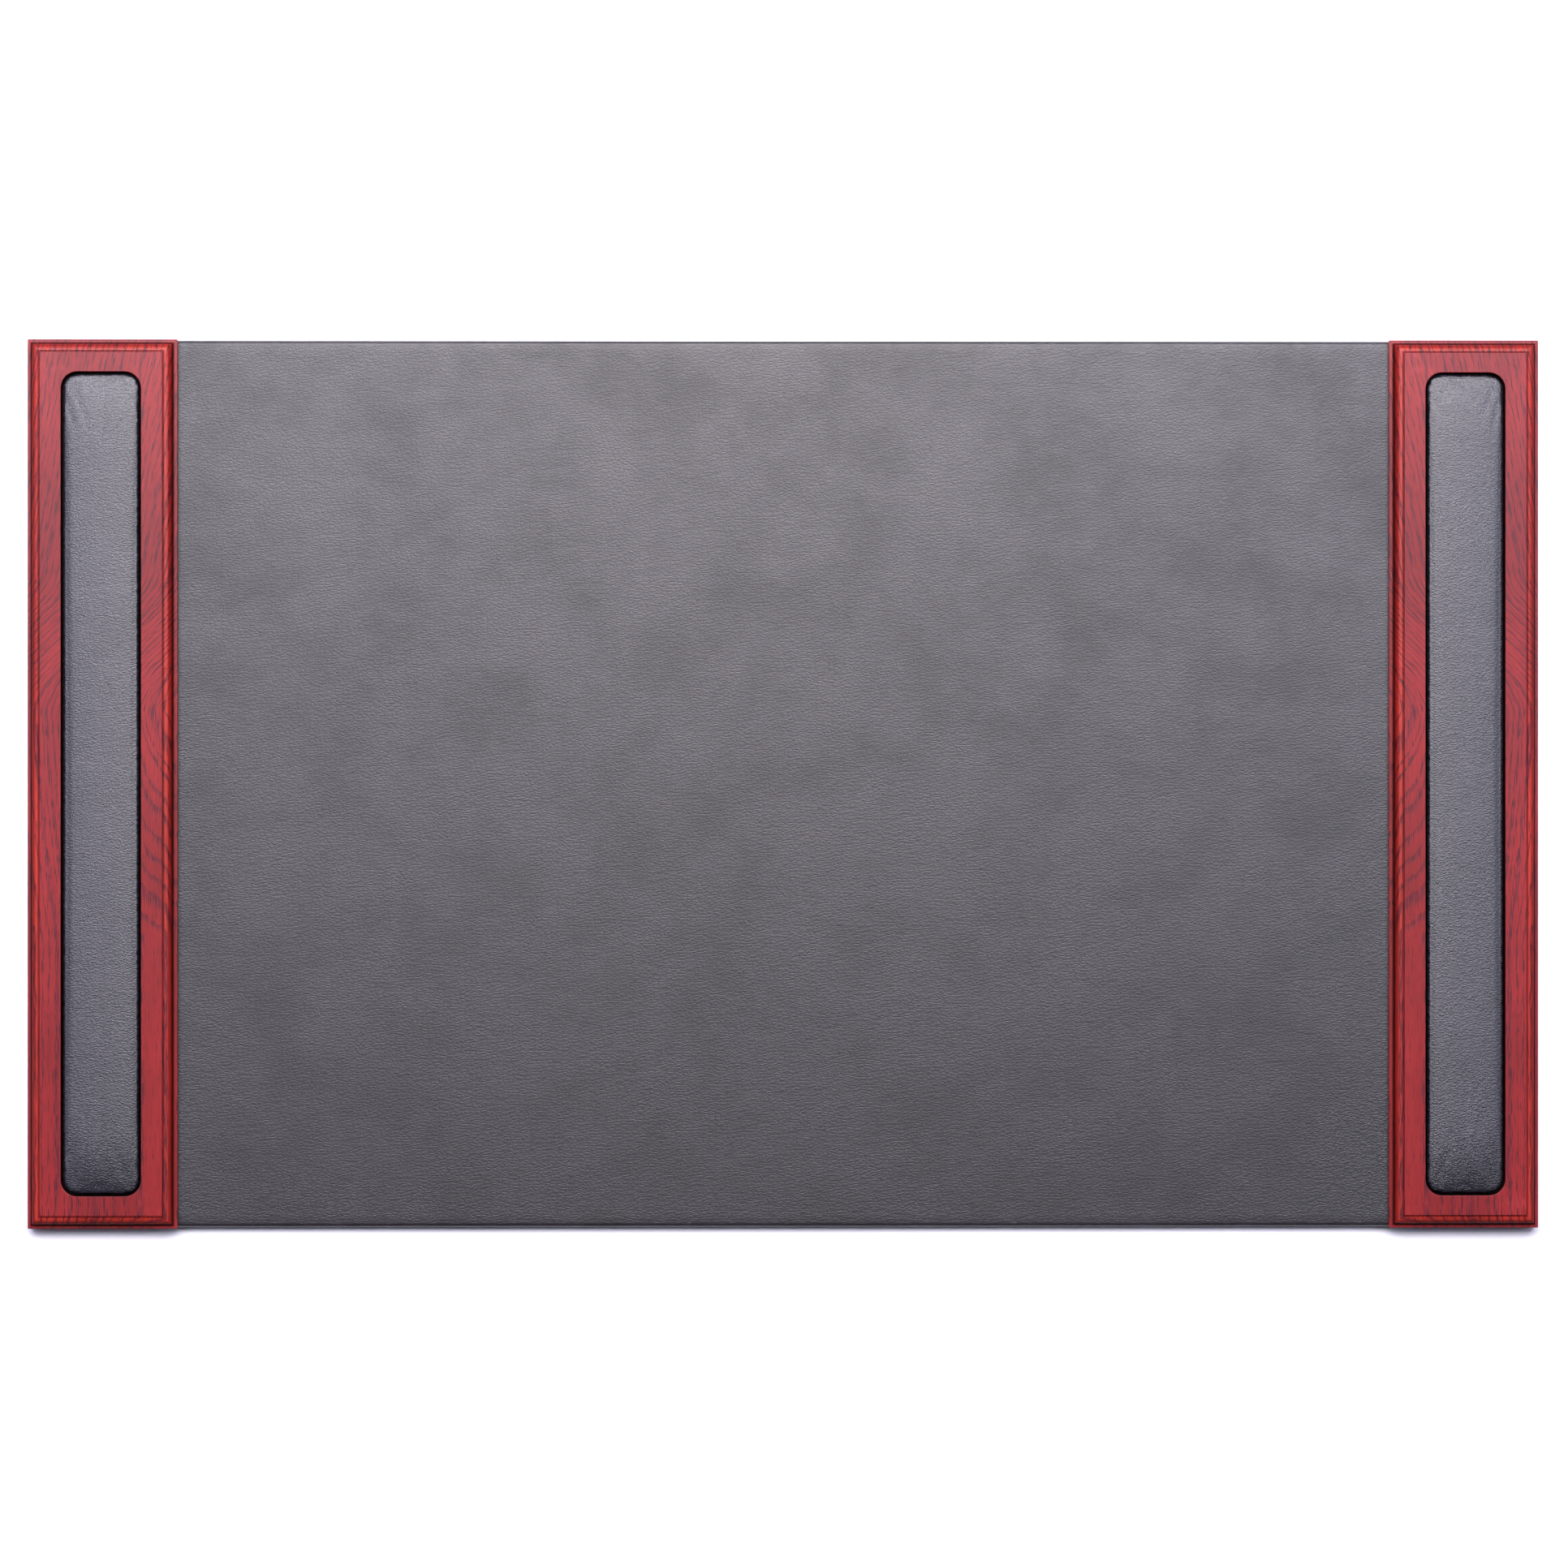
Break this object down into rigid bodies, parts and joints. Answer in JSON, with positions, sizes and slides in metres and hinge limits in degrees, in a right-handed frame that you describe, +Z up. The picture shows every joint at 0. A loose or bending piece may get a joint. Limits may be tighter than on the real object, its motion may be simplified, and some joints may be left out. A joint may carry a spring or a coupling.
{
  "type": "desk mat",
  "caption": "Padded leather desk mat held between two moulded, stained wooden side rails, each with a long leather pad set in its top, on a felt underside.",
  "frame": {"origin": "centre of the mat's outline, on the surface that its felt lies on", "axes": "+X to the right along the mat's width, +Y to the back edge, +Z up out of the writing surface"},
  "size_m": [0.8636, 0.508, 0.0194],
  "materials": {
    "stained_oak": "satin lacquer over a red stain",
    "panel_leather": "fine pebble grain, satin",
    "pad_leather": "fine pebble grain, satin",
    "hardboard": "matt pressed board",
    "foam": "open-cell foam",
    "felt": "matt wool felt",
    "zinc_steel": "bright zinc plate"
  },
  "bodies": {
    "root": {"base_board": "hardboard", "foam_layer": "foam", "leather_surface": "panel_leather", "felt_backing": "felt", "left_rail": "stained_oak", "left_rail_felt": "felt", "left_insert_board": "hardboard", "left_insert_foam": "foam", "left_insert_leather": "pad_leather", "left_screw_1": "zinc_steel", "left_screw_2": "zinc_steel", "left_screw_3": "zinc_steel", "left_screw_4": "zinc_steel", "left_screw_5": "zinc_steel", "right_rail": "stained_oak", "right_rail_felt": "felt", "right_insert_board": "hardboard", "right_insert_foam": "foam", "right_insert_leather": "pad_leather", "right_screw_1": "zinc_steel", "right_screw_2": "zinc_steel", "right_screw_3": "zinc_steel", "right_screw_4": "zinc_steel", "right_screw_5": "zinc_steel"}
  },
  "joints": []
}
